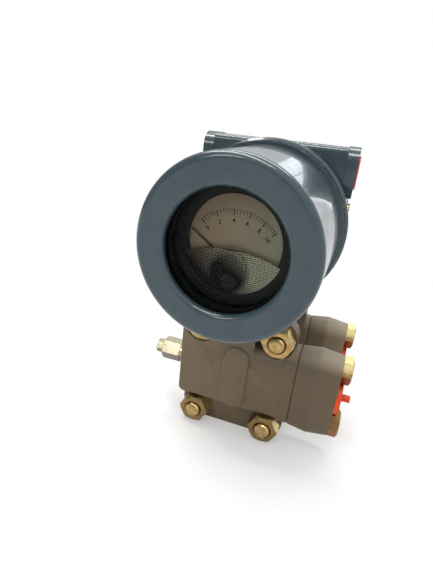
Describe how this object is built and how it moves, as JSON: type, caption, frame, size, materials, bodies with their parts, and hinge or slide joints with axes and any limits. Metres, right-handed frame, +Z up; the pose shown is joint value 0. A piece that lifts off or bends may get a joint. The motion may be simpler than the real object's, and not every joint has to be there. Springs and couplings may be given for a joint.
{
  "type": "differential pressure transmitter",
  "caption": "Bolted-flange differential pressure transmitter with flange adapters and a swivelling housing that carries an analogue dial meter.",
  "frame": {"origin": "on the standing surface, under the axis of the sensor neck on which the housing swivels", "axes": "+Z up the neck axis, -Y the way the meter looks, +X towards the process connections"},
  "size_m": [0.1414, 0.1623, 0.2047],
  "materials": {
    "cast_enamel": "gloss blue-grey enamel on cast aluminium",
    "flange_paint": "satin taupe paint on cast steel",
    "stainless_steel": "machined",
    "yellow_zinc": "yellow zinc plate",
    "seal_rubber": "matte",
    "plug_plastic": "orange-red",
    "brass": "plain",
    "window_glass": "clear",
    "black_plastic": "matte black",
    "dial_enamel": "matte beige enamel",
    "blackened_metal": "black",
    "circuit_board": "green laminate"
  },
  "bodies": {
    "sensor_base": {"sensor_module": "stainless_steel", "housing_lock_nut": "stainless_steel", "flange_front": "flange_paint", "flange_rear": "flange_paint", "flange_bolts": "yellow_zinc", "flange_nuts": "yellow_zinc", "adapter_front": "flange_paint", "adapter_rear": "flange_paint", "adapter_bolts": "yellow_zinc", "diaphragm_front": "stainless_steel", "diaphragm_rear": "stainless_steel", "flange_oring_front": "seal_rubber", "flange_oring_rear": "seal_rubber", "adapter_oring_front": "seal_rubber", "adapter_oring_rear": "seal_rubber", "port_plug_front": "plug_plastic", "port_plug_rear": "plug_plastic", "vent_seat_front": "stainless_steel", "vent_seat_rear": "stainless_steel"},
    "housing": {"electronics_housing": "cast_enamel", "housing_side_screw": "brass", "conduit_plug": "plug_plastic", "meter_case": "black_plastic", "dial_plate": "dial_enamel", "meter_bezel": "black_plastic", "meter_shroud": "black_plastic", "meter_magnet": "blackened_metal", "meter_posts": "stainless_steel", "amplifier_board": "circuit_board", "calibration_board": "circuit_board", "board_posts": "stainless_steel", "terminal_block": "black_plastic", "terminal_screws": "stainless_steel"},
    "meter_cover_seal": {"meter_cover_oring": "seal_rubber"},
    "meter_cover": {"meter_cover": "cast_enamel", "cover_glass": "window_glass", "glass_gasket": "seal_rubber", "glass_retainer": "stainless_steel"},
    "terminal_cover_seal": {"terminal_cover_oring": "seal_rubber"},
    "terminal_cover": {"terminal_cover": "cast_enamel"},
    "pointer": {"pointer": "blackened_metal", "moving_coil": "brass"},
    "zero_screw": {"zero_screw": "blackened_metal"},
    "vent_stem_front": {"vent_stem_front": "stainless_steel"},
    "vent_stem_rear": {"vent_stem_rear": "stainless_steel"}
  },
  "joints": [
    {"name": "housing_swivel", "type": "hinge", "parent": "sensor_base", "child": "housing", "pos_m": [0, 0, 0.0965], "axis": [0, 0, 1], "range_deg": [-90, 90]},
    {"name": "meter_cover_travel", "type": "slide", "parent": "housing", "child": "meter_cover_seal", "axis": [0, -1, 0], "range_m": [0, 0.0106]},
    {"name": "meter_cover_turn", "type": "hinge", "parent": "meter_cover_seal", "child": "meter_cover", "pos_m": [0, -0.01445, 0.1507], "axis": [0, -1, 0], "range_deg": [0, 1800]},
    {"name": "terminal_cover_travel", "type": "slide", "parent": "housing", "child": "terminal_cover_seal", "axis": [0, 1, 0], "range_m": [0, 0.0106]},
    {"name": "terminal_cover_turn", "type": "hinge", "parent": "terminal_cover_seal", "child": "terminal_cover", "pos_m": [0, 0.04265, 0.1507], "axis": [0, 1, 0], "range_deg": [0, 1800]},
    {"name": "pointer_swing", "type": "hinge", "parent": "housing", "child": "pointer", "pos_m": [0, -0.076, 0.1403], "axis": [0, 1, 0], "range_deg": [0, 106], "stiffness_Nm_per_rad": 0.0002, "springref_deg": -8.59},
    {"name": "zero_screw_turn", "type": "hinge", "parent": "housing", "child": "zero_screw", "pos_m": [0, -0.079, 0.132], "axis": [0, 1, 0], "range_deg": [-60, 60]},
    {"name": "vent_stem_front_turn", "type": "hinge", "parent": "sensor_base", "child": "vent_stem_front", "pos_m": [-0.0595, -0.027, 0.0502], "axis": [-1, 0, 0], "range_deg": [0, 360]},
    {"name": "vent_stem_rear_turn", "type": "hinge", "parent": "sensor_base", "child": "vent_stem_rear", "pos_m": [-0.0595, 0.027, 0.0502], "axis": [-1, 0, 0], "range_deg": [0, 360]}
  ],
  "couplings": [
    {"joint": "meter_cover_travel", "follows": "meter_cover_turn", "m_per_rad": 0.00033688},
    {"joint": "terminal_cover_travel", "follows": "terminal_cover_turn", "m_per_rad": 0.00033688}
  ]
}
